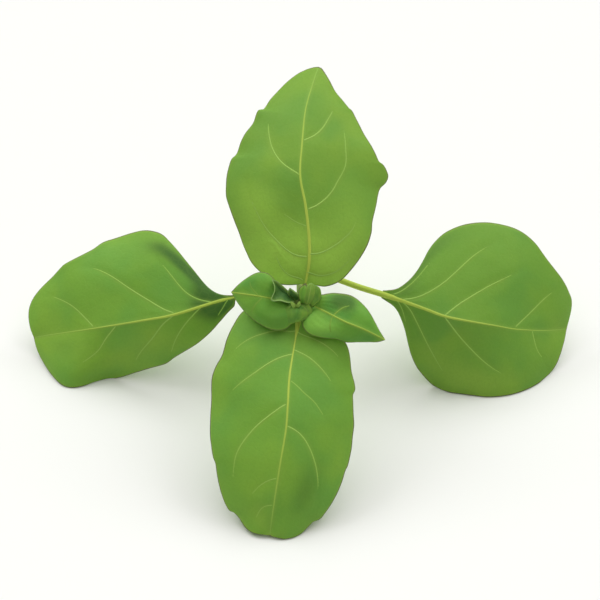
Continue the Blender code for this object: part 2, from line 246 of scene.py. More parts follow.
# --------------------------------------------------------------------------
# Upper pair of broad leaves, with the leaf's way of growing. Each is one thin
# blade round a sunken midrib, with raised side veins, a softly toothed edge
# and a short juicy stalk that grows out of the stem's upper joint.
# --------------------------------------------------------------------------
def blade_sheet(rib, left, right, arch=1.2, wave=0.5, waves=3.0, pleats=0, pleat=0.0, fade=0.6):
    """The blade's middle sheet: place runs along the midrib, side from -1 to 1 across.

    Both edges are given as drawn. A calm copy of each carries the arched form,
    and the teeth are what the drawn edge adds to it close to the rim.
    """
    steps = 240
    calming_rounds = 70
    extra_width = 0.00012
    wavy_width = 0.006
    near_tip = -12
    middle = smooth_line([lean(*point) for point in rib], steps)
    edges = [smooth_line([lean(*point) for point in side], steps) for side in (left, right)]
    calm = []
    for line in edges:
        for _ in range(calming_rounds):
            inner = [(a + b * 2 + c) / 4 for a, b, c in zip(line, line[1:], line[2:])]
            line = [line[0], *inner, line[-1]]
        calm.append(line)
    broad = max((a - b).length for a, b in zip(middle, edges[0]))
    out = lean(0, 0, 1) - lean(0, 0, 0)
    tip_side = (edges[1][near_tip] - edges[0][near_tip]).normalized()

    def spot_at(place, side):
        row = min(int(place * steps), steps - 1)
        part = place * steps - row
        which = 0 if side < 0 else 1
        centre = middle[row].lerp(middle[row + 1], part)
        edge = calm[which][row].lerp(calm[which][row + 1], part)
        teeth = edges[which][row].lerp(edges[which][row + 1], part) - edge
        width = (edge - centre).length
        edge += tip_side * (extra_width if side > 0 else -extra_width)
        across = abs(side)
        rise = arch * width / broad * math.sin(math.pi * across ** 1.5)
        turn = waves * 2 * math.pi * place + which * 2.0
        rise += wave * across ** 3 * math.sin(turn) * min(1.0, width / wavy_width)
        if pleats:
            fold = pleat * math.cos(2 * math.pi * pleats * side) * (1 - place) ** fade
            rise += fold * ease(0.0, 0.25, place)
        return centre.lerp(edge, across) + teeth * across ** 6 + out * rise

    return spot_at


def facing(spot_at, place, side):
    """The way the sheet's upper face looks at one spot."""
    step, side_step = 0.004, 0.02
    along = spot_at(min(1.0, place + step), side) - spot_at(max(0.0, place - step), side)
    over = spot_at(place, min(1.0, side + side_step)) - spot_at(place, max(-1.0, side - side_step))
    return over.cross(along).normalized()


def relief(spot, vein_gap, swell):
    """How far the flesh stands up here, in metres: low at a vein, swollen between two."""
    full_swell, full_dents, groove, groove_width = 3.5, 2.5, 0.25, 0.8
    groove *= math.exp(-(vein_gap / groove_width) ** 2)
    rise = swell * (ease(0.0, full_swell, vein_gap) - groove)
    dents = 0.12 * noise.noise(spot * 130) + 0.03 * noise.noise(spot * 420)
    rise += dents * ease(0.0, full_dents, vein_gap)
    return rise / 1000


def turn_normals(faces, verts):
    """The sheet's normals, worked out again after its points have moved."""
    for face in faces:
        face.normal_update()
    for vert in verts:
        vert.normal_update()


def lay_blade(shape, spot_at, samples, rows, cols, thick, swell, finish=0, shade_and_light_patches=()):
    """The blade: a fine sheet between the edges, raised between the veins, made thick.

    Each sample is a spot on a vein with how weak the vein is there. Each tone is a
    patch: its place and side, its reach along both, and how much it is fresher (+)
    or deeper (-). A fresher patch is painted light with some fresh yellow-green; a
    deeper one is painted shade.
    """
    half = thick / 2000
    rim_share = 0.25
    edge_at_tip, tip_pace = 0.02, 40
    near = kdtree.KDTree(len(samples))
    for i, (spot, _) in enumerate(samples):
        near.insert(spot, i)
    near.balance()
    vein_gap, edge_gap, under, shade_and_light_tone = (
        shape.verts.layers.float[key] for key in ("vein_gap", "edge_gap", "under", "shade_and_light_tone")
    )
    sheet = bmesh.ops.create_grid(shape, x_segments=cols, y_segments=rows, size=1.0)["verts"]
    halves = {}
    for vert in sheet:
        side, place = vert.co.x, (vert.co.y + 1) / 2
        spot = spot_at(place, side)
        rim = spot_at(place, -1.0 if side < 0 else 1.0)
        _, index, gap = near.find(spot)
        vert[vein_gap] = gap * 1000 + samples[index][1]
        to_rim = (rim - spot).length * 1000
        vert[edge_gap] = min(to_rim, (1 - place) * tip_pace + edge_at_tip)
        # Fresher patches paint light and deeper ones paint shade into this spot's colour.
        for at, over, reach, broad, much in shade_and_light_patches:
            away = -((place - at) / reach) ** 2 - ((side - over) / broad) ** 2
            vert[shade_and_light_tone] += much * math.exp(away)
        vert.co = spot
        halves[vert] = half * (rim_share + (1 - rim_share) * ease(0.0, 0.5, to_rim))
    faces = list({face for vert in sheet for face in vert.link_faces})
    for face in faces:
        face.material_index = finish
    turn_normals(faces, sheet)
    for vert in sheet:
        vert.co = vert.co + vert.normal * relief(vert.co, vert[vein_gap], swell)
        vert.co.z = max(vert.co.z, halves[vert])
    turn_normals(faces, sheet)

    # The copy becomes the upper face and the first sheet the underside.
    shift = {tuple(vert.co): vert.normal * halves[vert] for vert in sheet}
    made = bmesh.ops.extrude_face_region(shape, geom=faces)["geom"]
    for vert in made:
        if isinstance(vert, bmesh.types.BMVert):
            vert.co = vert.co + shift[tuple(vert.co)]
    for vert in sheet:
        vert[under] = 1.0
        vert.co = vert.co - shift[tuple(vert.co)]


def grow_leaf(shape, stalk, rib, left, right, veins, shade_and_light_patches=(), rows=230, cols=116,
              thick=0.42, stalk_radius=0.9, rib_width=0.30, swell=0.12, tuck=0.0, **form):
    """One whole leaf: stalk and midrib in one tapering tube, side veins, and the blade."""
    spot_at = blade_sheet(rib, left, right, **form)
    half = thick / 2000

    # Stalk and midrib: round at the stem, then sunk into the blade's upper face.
    steps = 120
    foot_swell = 0.35
    tip_radius, tip_chord, tip_point = 0.28, 0.10, 0.4
    proud = 0.00004
    samples = []
    middle = []
    widths = []
    for i in range(steps + 1):
        place = i / steps
        spot = spot_at(place, 0.0)
        radius = tip_radius + (stalk_radius - tip_radius) * (1 - place) ** 3
        chord = tip_chord + rib_width * (1 - place) ** 1.6
        sunk = ease(0.0, 0.10, place + tuck)
        sink = math.sqrt(max(0.0, radius ** 2 - (chord / 2) ** 2)) * sunk
        face = facing(spot_at, min(place, 0.985), 0.0)
        rise = relief(spot, 0.0, swell) + half + proud
        middle.append(spot + face * (rise * sunk - sink / 1000))
        widths.append(radius)
        samples.append((spot, 0.0))
    line = smooth_line([lean(*point) for point in stalk] + middle[:1], 8 * len(stalk))[:-1]
    radii = [stalk_radius * (1.0 + foot_swell * (1 - i / len(line)) ** 6) for i in range(len(line))]
    line += middle
    radii += widths
    radii[-1] *= tip_point
    draw_out(shape, line, [radius / 1000 for radius in radii], sides=16, finish=1)

    # Side veins: thin tubes that lie in the blade and sink out of sight as they taper.
    steps_per_unit, rough_steps, calming_rounds = 48, 18, 3
    start_chord, end_chord, last_part, last_share = 0.36, 0.16, 0.94, 0.93
    proud, depth, start_dip, end_dip = 0.00008, 0.00003, 0.00012, 0.00016
    fading = 1.3
    side_limit = 0.98
    for strength, *path in veins:
        reach = sum((Vector(a) - Vector(b)).length for a, b in zip(path, path[1:]))
        length = max(10, int(reach * steps_per_unit))
        trail = smooth_line([Vector((*point, 0.0)) for point in path], rough_steps)
        for _ in range(calming_rounds):
            inner = [(a + b * 2 + c) / 4 for a, b, c in zip(trail, trail[1:], trail[2:])]
            trail = [trail[0], *inner, trail[-1]]
        trail = smooth_line(trail, length)
        vein_line = []
        vein_radii = []
        for i, point in enumerate(trail):
            part = i / length
            place, side = point.x, max(-side_limit, min(side_limit, point.y))
            spot = spot_at(place, side)
            weak = 1.0 - strength + fading * ease(0.72, 1.0, part)
            samples.append((spot, weak))
            chord = (start_chord * (1 - part) + end_chord * part) * strength
            end = part > last_part
            radius = math.hypot(0.0 if end else chord / 2000, half + proud)
            deep = depth + start_dip * (1 - ease(0.0, 0.05, part)) + end_dip * ease(0.85, 1.0, part)
            sink = relief(spot, weak, swell) - deep
            vein_line.append(spot + facing(spot_at, place, side) * sink)
            vein_radii.append(radius * last_share if end else radius)
        draw_out(shape, vein_line, vein_radii, sides=10, finish=2, strong=strength)
    lay_blade(shape, spot_at, samples, rows, cols, thick, swell, 0, shade_and_light_patches)


def leaf_flesh():
    """Shader group: mottled leaf green with a fine vein net, pale veins, a dark edge and patches of
    painted shade and painted light.
    """
    group = bpy.data.node_groups.new("leaf flesh", "ShaderNodeTree")
    for way, kind, names in (
        ("INPUT", "Color", ("Main Green", "Cool Green", "Warm Green")),
        ("INPUT", "Color", ("Painted Shade Green", "Fresh And Painted Light Green", "Edge Colour")),
        ("INPUT", "Float", ("Blotch Size", "Net Size")),
        ("OUTPUT", "Color", ("Colour",)),
        ("OUTPUT", "Float", ("Height", "Roughness")),
    ):
        for name in names:
            group.interface.new_socket(name, in_out=way, socket_type="NodeSocket" + kind)
    given = group.nodes.new("NodeGroupInput")
    shown = group.nodes.new("NodeGroupOutput")
    link = group.links.new
    coords = add_node(group, "TexCoord").outputs["Object"]

    # Soft blotches of bluish and yellowish green, each from its own noise.
    cool = add_node(group, "TexNoise", Detail=2.0, Roughness=0.45)
    link(coords, cool.inputs["Vector"])
    link(given.outputs["Blotch Size"], cool.inputs["Scale"])
    moved = add_node(group, "Mapping")
    moved.inputs["Location"].default_value = (0.31, 0.17, 0.23)
    link(coords, moved.inputs["Vector"])
    warm = add_node(group, "TexNoise", Detail=2.0, Roughness=0.5)
    link(moved.outputs["Vector"], warm.inputs["Vector"])
    link(given.outputs["Blotch Size"], warm.inputs["Scale"])
    base = given.outputs["Main Green"]
    base = tint(group, ramp(group, cool.outputs["Fac"], 0.42, 0.68), base, given.outputs["Cool Green"])
    base = tint(group, ramp(group, warm.outputs["Fac"], 0.46, 0.72), base, given.outputs["Warm Green"])

    # Patches of painted shade (deeper green) and of painted light with fresh yellow-green (fresher
    # green) that belong to one leaf, from its tone layer.
    shade_and_light_tone = read(group, "shade_and_light_tone")
    base = tint(group, ramp(group, shade_and_light_tone, 0.0, -1.0), base, given.outputs["Painted Shade Green"])
    base = tint(group, ramp(group, shade_and_light_tone, 0.0, 1.0), base, given.outputs["Fresh And Painted Light Green"])

    # Fine net of veinlets, its cell walls bent by a little noise, and small dark specks.
    veinlet_green = (0.26, 0.42, 0.070)
    speck_green = (0.09, 0.23, 0.03)
    bend = add_node(group, "TexNoise", Scale=320.0, Detail=1.0)
    link(coords, bend.inputs["Vector"])
    shift = add_node(group, "VectorMath", operation="MULTIPLY_ADD")
    link(bend.outputs["Color"], shift.inputs[0])
    shift.inputs[1].default_value = (0.0022, 0.0022, 0.0022)
    link(coords, shift.inputs[2])
    cells = add_node(group, "TexVoronoi", feature="DISTANCE_TO_EDGE")
    link(shift.outputs["Vector"], cells.inputs["Vector"])
    link(given.outputs["Net Size"], cells.inputs["Scale"])
    wall = ramp(group, cells.outputs["Distance"], 0.0, 0.11, 1.0, 0.0)
    small = add_node(group, "TexNoise", Scale=1500.0, Detail=2.0)
    link(coords, small.inputs["Vector"])
    base = tint(group, ramp(group, wall, 0.0, 1.0, 0.0, 0.07), base, veinlet_green)
    base = tint(group, ramp(group, small.outputs["Fac"], 0.35, 0.75, 0.0, 0.10), base, speck_green)

    # A pale halo by the veins, a yellow rim, the thin dark line of the edge, and
    # the duller underside.
    halo_green = (0.27, 0.44, 0.07)
    rim_yellow = (0.34, 0.47, 0.07)
    under_pale = (0.27, 0.42, 0.14)
    halo = ramp(group, read(group, "vein_gap"), 0.15, 1.3, 0.34, 0.0)
    base = tint(group, halo, base, halo_green)
    edge = read(group, "edge_gap")
    base = tint(group, ramp(group, edge, 0.35, 0.95, 0.30, 0.0), base, rim_yellow)
    patchy = ramp(group, warm.outputs["Fac"], 0.35, 0.6, 0.6, 1.0)
    line = add_node(group, "Math", operation="MULTIPLY")
    link(ramp(group, edge, 0.18, 0.50, 1.0, 0.0), line.inputs[0])
    link(patchy, line.inputs[1])
    base = tint(group, line.outputs["Value"], base, given.outputs["Edge Colour"])
    under = read(group, "under")
    base = tint(group, ramp(group, under, 0.3, 0.9, 0.0, 0.55), base, under_pale)
    link(base, shown.inputs["Colour"])
    high = add_node(group, "Math", operation="MULTIPLY_ADD")
    link(wall, high.inputs[0])
    high.inputs[1].default_value = -0.6
    link(small.outputs["Fac"], high.inputs[2])
    link(high.outputs["Value"], shown.inputs["Height"])
    rough = add_node(group, "Math", operation="MULTIPLY_ADD")
    link(under, rough.inputs[0])
    rough.inputs[1].default_value = 0.16
    link(ramp(group, small.outputs["Fac"], 0.3, 0.7, 0.50, 0.60), rough.inputs[2])
    link(rough.outputs["Value"], shown.inputs["Roughness"])
    return group


LEAF_FLESH = leaf_flesh()


def leaf_material(name, main, cool, warm, edge=(0.12, 0.12, 0.05), deep=(0.085, 0.205, 0.034),
                  fresh_and_lit_green=(0.300, 0.500, 0.068), blotch=52.0, net=430.0):
    """Leaf skin: satin, a little waxy, and thin enough for light to come through."""
    material = bpy.data.materials.new(name)
    material.use_nodes = True
    tree = material.node_tree
    shader = tree.nodes["Principled BSDF"]
    flesh = tree.nodes.new("ShaderNodeGroup")
    flesh.node_tree = LEAF_FLESH
    # The deep green is painted shade for the deeper tone patches. The fresh green is painted light,
    # with fresh yellow-green, for the fresher ones.
    colours = {"Main Green": main, "Cool Green": cool, "Warm Green": warm,
               "Painted Shade Green": deep, "Fresh And Painted Light Green": fresh_and_lit_green, "Edge Colour": edge}
    for socket, colour in colours.items():
        flesh.inputs[socket].default_value = (*colour, 1.0)
    flesh.inputs["Blotch Size"].default_value = blotch
    flesh.inputs["Net Size"].default_value = net
    tree.links.new(flesh.outputs["Colour"], shader.inputs["Base Color"])
    tree.links.new(flesh.outputs["Roughness"], shader.inputs["Roughness"])
    bump = add_node(tree, "Bump", Strength=0.35, Distance=0.00005)
    tree.links.new(flesh.outputs["Height"], bump.inputs["Height"])
    tree.links.new(bump.outputs["Normal"], shader.inputs["Normal"])
    shader.inputs["Specular IOR Level"].default_value = 0.18
    shader.inputs["Subsurface Weight"].default_value = 0.12
    shader.inputs["Subsurface Radius"].default_value = (0.5, 1.0, 0.2)
    shader.inputs["Subsurface Scale"].default_value = 0.0008
    return material


# Each broad leaf has its own copy of one leaf green, made a little lighter or darker as painted light
# and shade for how the lamps fall on it. The back leaf's fresh green is brighter still: painted light
# on its foot, which the bud shades.
BACK_SKIN = leaf_material("back leaf skin", (0.202, 0.390, 0.047), (0.169, 0.367, 0.052),
                          (0.234, 0.422, 0.049), fresh_and_lit_green=(0.350, 0.600, 0.080))
FRONT_SKIN = leaf_material("front leaf skin", (0.206, 0.428, 0.053), (0.174, 0.401, 0.060),
                           (0.246, 0.466, 0.055))
STALK_GREEN = stalk_material("stalk and midrib", (0.56, 0.69, 0.100), (0.51, 0.64, 0.090),
                             soft=0.0, far=(0.260, 0.490, 0.078))
VEIN_GREEN = stalk_material("side veins", (0.370, 0.610, 0.120), (0.340, 0.580, 0.110),
                            soft=0.0, far=(0.285, 0.505, 0.078))

leaf_back_shape = new_shape()
grow_leaf(
    leaf_back_shape,
    stalk=[(0.1, 0.9, -0.4), (0.4, 2.9, 0.6)],
    rib=[(1, 5, 4.6), (2, 11, 5.8), (2, 18, 6.6), (1, 27, 7), (-0.5, 35.5, 6.5), (0, 44.5, 4),
         (1, 54.5, -0.5), (3, 62, -5), (4.8, 67.7, -9)],
    left=[(0, 5, 4.4), (-1.9, 4.6, 4.2), (-5.9, 4.7, 3.5), (-8.5, 6, 2.8), (-11.8, 8.3, 2),
          (-14.2, 10.9, 1.2), (-15.7, 13.9, 0.6), (-16.7, 16.2, -0.2), (-17.9, 19.6, -0.7),
          (-19, 22.4, -1), (-20.1, 25.4, -1.2), (-21, 27.9, -1.5), (-21.6, 30.2, -1.7),
          (-21.6, 33.5, -2), (-21.3, 36.5, -2.4), (-20.6, 39.3, -2.8), (-20, 40.8, -3),
          (-19, 41.6, -3.2), (-18.3, 42.8, -3.5), (-17.3, 45.9, -4), (-16, 48.4, -4.5), (-14, 51, -5),
          (-12.9, 54, -5.6), (-12.3, 54.9, -5.8), (-11.3, 54.8, -5.9), (-10.4, 55.7, -6.2),
          (-9, 57.9, -6.7), (-7, 60.2, -7.3), (-4.5, 62.8, -8), (-1.4, 65.3, -8.6), (1.2, 66.7, -8.8),
          (3.4, 67.5, -8.9), (4.8, 67.7, -9)],
    right=[(2, 5, 4.4), (4.8, 4.3, 4), (6.6, 4.2, 3.5), (9.6, 5.1, 2.9), (12.1, 6.9, 2.2),
           (14.8, 10.1, 1.4), (16.8, 12.9, 0.8), (18.6, 16.1, 0.2), (19.7, 19.6, -0.6), (20, 22.9, -1),
           (21.1, 27.5, -1.7), (21.7, 30.7, -2.3), (22.4, 32.5, -2.8), (23.9, 34, -3.4),
           (24.6, 35.8, -3.9), (24.1, 37.6, -3.8), (23.2, 39.1, -3.5), (21.9, 40.1, -3.2),
           (20.9, 42.3, -3.2), (19.7, 44.6, -3.5), (17.7, 47.9, -4.1), (15.7, 51.9, -4.7),
           (14.3, 54.7, -5.2), (13.4, 55.5, -5.4), (11.7, 57.6, -6.1), (9.4, 60.4, -7), (7.7, 63.8, -8),
           (6.2, 66.4, -8.7), (5.6, 67.3, -8.9), (4.8, 67.7, -9)],
    veins=[
        (1, (0.462, 0), (0.488, -0.11), (0.517, -0.24), (0.554, -0.36), (0.6, -0.49), (0.65, -0.58),
         (0.696, -0.7), (0.733, -0.74)),
        (1, (0.121, -0.05), (0.138, -0.22), (0.167, -0.36), (0.208, -0.46), (0.254, -0.55),
         (0.3, -0.64), (0.358, -0.68), (0.425, -0.69), (0.475, -0.74)),
        (0.55, (0.246, -0.02), (0.275, -0.16), (0.304, -0.26), (0.333, -0.35)),
        (0.8, (0.021, -0.32), (0.079, -0.61), (0.117, -0.65), (0.15, -0.62), (0.2, -0.58),
         (0.221, -0.58)),
        (1, (0.617, 0.01), (0.646, 0.15), (0.688, 0.29), (0.746, 0.44), (0.796, 0.6)),
        (1, (0.317, 0.02), (0.354, 0.2), (0.404, 0.36), (0.462, 0.48), (0.521, 0.49), (0.579, 0.55),
         (0.642, 0.6), (0.712, 0.66), (0.758, 0.71)),
        (1, (0.125, -0.02), (0.158, 0.26), (0.208, 0.48), (0.258, 0.62), (0.308, 0.73), (0.358, 0.79),
         (0.412, 0.82)),
        (0.9, (0.046, -0.05), (0.071, 0.48), (0.108, 0.7), (0.15, 0.82), (0.192, 0.88), (0.25, 0.89),
         (0.312, 0.92)),
    ],
    # Painted light with fresh yellow-green at the foot, where the bud shades the leaf, and lighter
    # patches further up.
    shade_and_light_patches=((0.03, 0.0, 0.14, 1.5, 1.0), (0.17, 0.0, 0.15, 1.5, 0.6), (0.08, -0.5, 0.09, 0.4, 1.2),
           (0.38, -0.65, 0.10, 0.35, 0.7), (0.40, 0.7, 0.2, 0.4, 0.4)),
    tuck=0.1,
)
put_in_place("leaf_back", leaf_back_shape, [BACK_SKIN, STALK_GREEN, VEIN_GREEN], "leaf_back")
leaf_front_shape = new_shape()
grow_leaf(
    leaf_front_shape,
    stalk=[(-0.1, -1.0, 0.2), (-0.3, -2.9, 1.6)],
    rib=[(-1, -5.5, 4), (-2, -11.5, 7), (-3.5, -21, 11), (-4, -29, 13.5), (-4.5, -36, 14.5),
         (-6, -45, 15), (-7.5, -54.5, 14), (-8.5, -61.5, 12), (-8.9, -64.6, 10.9), (-9, -66.4, 10.6)],
    left=[(0, -5.5, 4), (5.5, -6.5, 5), (10.2, -9.4, 5.9), (12.3, -12, 6.2), (13.2, -14.4, 6.4),
          (13.6, -17.1, 6.6), (13.9, -20.1, 6.8), (14.7, -23.2, 7), (14.9, -25.1, 7.1),
          (14.3, -26.5, 7.2), (14.3, -28.5, 7.3), (14.4, -31.5, 7.5), (14.6, -35, 7.8),
          (14.2, -38.5, 8), (13.8, -42, 8.2), (12.8, -46.4, 8.4), (12.1, -47.9, 8.5),
          (11.1, -51.2, 8.5), (9.8, -54.3, 8.5), (8.1, -57.4, 8.5), (6.3, -60, 8.5), (4.9, -61.6, 8.5),
          (3, -62.4, 8.7), (1.5, -63.9, 9.1), (-0.3, -65.6, 9.6), (-2.4, -66.8, 10.4),
          (-4.6, -67.2, 10.8), (-6.6, -66.9, 10.9), (-9, -66.4, 10.6)],
    right=[(-2, -5.2, 4), (-8, -2.6, 4.8), (-13.5, -1.8, 5), (-16.8, -3.2, 5), (-19.4, -7, 5.3),
           (-21.2, -10.9, 5.6), (-22.5, -15.3, 5.8), (-24.2, -18.4, 6), (-25.3, -21.5, 6.2),
           (-25.5, -24.5, 6.3), (-25.5, -28.1, 6.5), (-25.8, -32.4, 7), (-25.9, -37.2, 7.6),
           (-25.5, -41.2, 8), (-25, -44.2, 8.4), (-24.3, -46, 8.5), (-23.9, -49, 8.5),
           (-23.1, -53, 8.5), (-22, -56.5, 8.5), (-20.9, -58.7, 8.5), (-20.2, -59.5, 8.5),
           (-19.1, -59.9, 8.6), (-17.6, -61.5, 8.7), (-16, -63.9, 9.1), (-14.3, -65.3, 9.6),
           (-12.1, -65.9, 10.2), (-10.4, -66, 10.4), (-9, -66.4, 10.6)],
    veins=[
        (1, (0.146, 0), (0.188, -0.25), (0.225, -0.41), (0.262, -0.54), (0.304, -0.65), (0.346, -0.71)),
        (1, (0.496, 0), (0.512, -0.16), (0.538, -0.29), (0.575, -0.4), (0.612, -0.5), (0.654, -0.59),
         (0.696, -0.66), (0.754, -0.75)),
        (0.8, (0.062, -0.05), (0.112, -0.41), (0.154, -0.61), (0.192, -0.73), (0.229, -0.84),
         (0.262, -0.89)),
        (0.5, (0.292, -0.01), (0.317, -0.12), (0.354, -0.25), (0.383, -0.39), (0.425, -0.51),
         (0.462, -0.6)),
        (1, (0.167, 0), (0.225, 0.2), (0.296, 0.4), (0.358, 0.56), (0.412, 0.69), (0.438, 0.76),
         (0.462, 0.81)),
        (1, (0.4, 0.01), (0.429, 0.1), (0.471, 0.22), (0.525, 0.38), (0.575, 0.5), (0.617, 0.6),
         (0.658, 0.68), (0.704, 0.74), (0.754, 0.75), (0.808, 0.79)),
        (0.8, (0.042, -0.04), (0.121, 0.39), (0.175, 0.52), (0.225, 0.69), (0.275, 0.81), (0.317, 0.9),
         (0.35, 0.94)),
        (0.5, (0.729, 0.01), (0.742, 0.18), (0.767, 0.34), (0.8, 0.49)),
        (0.5, (0.85, 0.02), (0.85, 0.24), (0.871, 0.4), (0.9, 0.56)),
    ],
    # Painted shade on one half towards the tip and lightly at the foot, and painted light near the tip
    # on the other half.
    shade_and_light_patches=((0.72, -0.5, 0.14, 0.25, -0.5), (0.90, 0.4, 0.10, 0.4, 0.5), (0.05, 0.0, 0.08, 0.8, -0.2)),
)
put_in_place("leaf_front", leaf_front_shape, [FRONT_SKIN, STALK_GREEN, VEIN_GREEN], "leaf_front")


# --------------------------------------------------------------------------
# Lower pair of broad leaves. The same thin blades on long round stalks, which
# leave the stem's lower joint and arch out to the left and the right until
# the blades rest on the surface.
# --------------------------------------------------------------------------
# The left and right skins are copies of the same green, a little lighter or darker as painted light and
# shade. The left one's deep green is darker: painted shade in the fold along its upper edge by the
# foot.
LEFT_SKIN = leaf_material("left leaf skin", (0.210, 0.427, 0.052), (0.175, 0.403, 0.059),
                          (0.248, 0.465, 0.054), deep=(0.068, 0.168, 0.030))
RIGHT_SKIN = leaf_material("right leaf skin", (0.192, 0.390, 0.050), (0.160, 0.364, 0.054),
                           (0.226, 0.424, 0.052))
leaf_left_shape = new_shape()
grow_leaf(
    leaf_left_shape,
    stalk=[(-1.0, 8.8, -24.2), (-2.8, 8.6, -24), (-6.5, 6.8, -23), (-13, 3.8, -22.5)],
    rib=[(-20, 1, -22), (-26, -0.5, -21.5), (-37.5, -4, -21.5), (-45.5, -5.5, -23), (-54.5, -7, -25.5),
         (-64.5, -8.6, -29.5), (-73.5, -9.9, -35), (-80.5, -11, -39.8)],
    left=[(-19.6, 0.4, -22), (-19.9, -1.4, -22.1), (-21.5, -3, -22.3), (-24.1, -5.9, -22.9),
          (-26.7, -8.8, -23.8), (-29.3, -11.1, -24.8), (-31.9, -13, -25.8), (-35.2, -15, -26.9),
          (-37.9, -16.7, -28.1), (-40.6, -18.5, -29.3), (-45.2, -19.8, -30.6), (-49.8, -21.2, -31.8),
          (-53.8, -22.5, -32.7), (-57.8, -23.3, -33.4), (-62.3, -24.3, -32.4), (-65.5, -25.5, -31.8),
          (-68.8, -25.7, -31.5), (-71.5, -24.8, -32.2), (-74.2, -22.3, -33.9), (-77, -18.8, -36.6),
          (-79.1, -15.2, -38.6), (-80.5, -11, -39.8)],
    right=[(-20.2, 1.6, -22), (-23.1, 1.6, -22.3), (-26, 2.5, -22.8), (-28.6, 4.8, -23.6),
           (-31.3, 8.1, -25), (-34.2, 11.6, -26.6), (-36.6, 14.6, -27.7), (-39.2, 17.5, -28.7),
           (-41.5, 19.6, -29.3), (-44.5, 20.6, -29.8), (-47.5, 20.7, -30.5), (-51.1, 19.9, -31.4),
           (-55.1, 18.6, -32.4), (-59.1, 17.3, -33.3), (-62.4, 15.1, -34.1), (-66.4, 13.1, -35.1),
           (-70.5, 11.1, -36.3), (-72.2, 9.7, -37), (-74.6, 7.2, -38.1), (-78, 3.9, -39.6),
           (-80.5, 0.9, -40.9), (-81.8, -2, -41.4), (-82, -4.7, -41.1), (-81.5, -7.9, -40.6),
           (-80.5, -11, -39.8)],
    veins=[
        (1, (0.267, 0.01), (0.308, 0.06), (0.358, 0.15), (0.412, 0.25), (0.475, 0.4), (0.521, 0.54),
         (0.562, 0.66), (0.6, 0.78), (0.642, 0.86)),
        (0.9, (0.1, 0.06), (0.15, 0.2), (0.221, 0.36), (0.275, 0.52), (0.329, 0.64), (0.362, 0.71)),
        (0.8, (0.658, 0.01), (0.683, 0.15), (0.717, 0.36), (0.754, 0.54), (0.804, 0.78)),
        (0.9, (0.271, 0.01), (0.338, -0.16), (0.396, -0.41), (0.454, -0.62), (0.492, -0.85)),
        (0.9, (0.146, 0), (0.229, -0.29), (0.283, -0.52), (0.321, -0.76), (0.338, -0.92)),
        (0.8, (0.55, -0.01), (0.6, -0.22), (0.638, -0.44), (0.696, -0.56), (0.729, -0.64)),
        (0.35, (0.029, -0.1), (0.067, -0.51), (0.112, -0.75)),
    ],
    # Painted shade along the upper edge near the foot and at the foot, painted light midway on the
    # lower half, and painted shade and light on the two halves near the tip.
    shade_and_light_patches=((0.42, -0.5, 0.16, 0.4, 0.5), (0.80, -0.30, 0.13, 0.30, -0.35),
           (0.80, 0.35, 0.13, 0.3, 0.25), (0.09, 0.75, 0.08, 0.40, -0.9),
           (0.21, 0.82, 0.09, 0.14, -0.9), (0.33, 0.82, 0.08, 0.10, -0.6),
           (0.05, -0.5, 0.08, 0.5, -0.9), (0.11, 0.05, 0.10, 0.6, -1.0)),
    tuck=0.1,
)
put_in_place("leaf_left", leaf_left_shape, [LEFT_SKIN, STALK_GREEN, VEIN_GREEN], "leaf_left")
leaf_right_shape = new_shape()
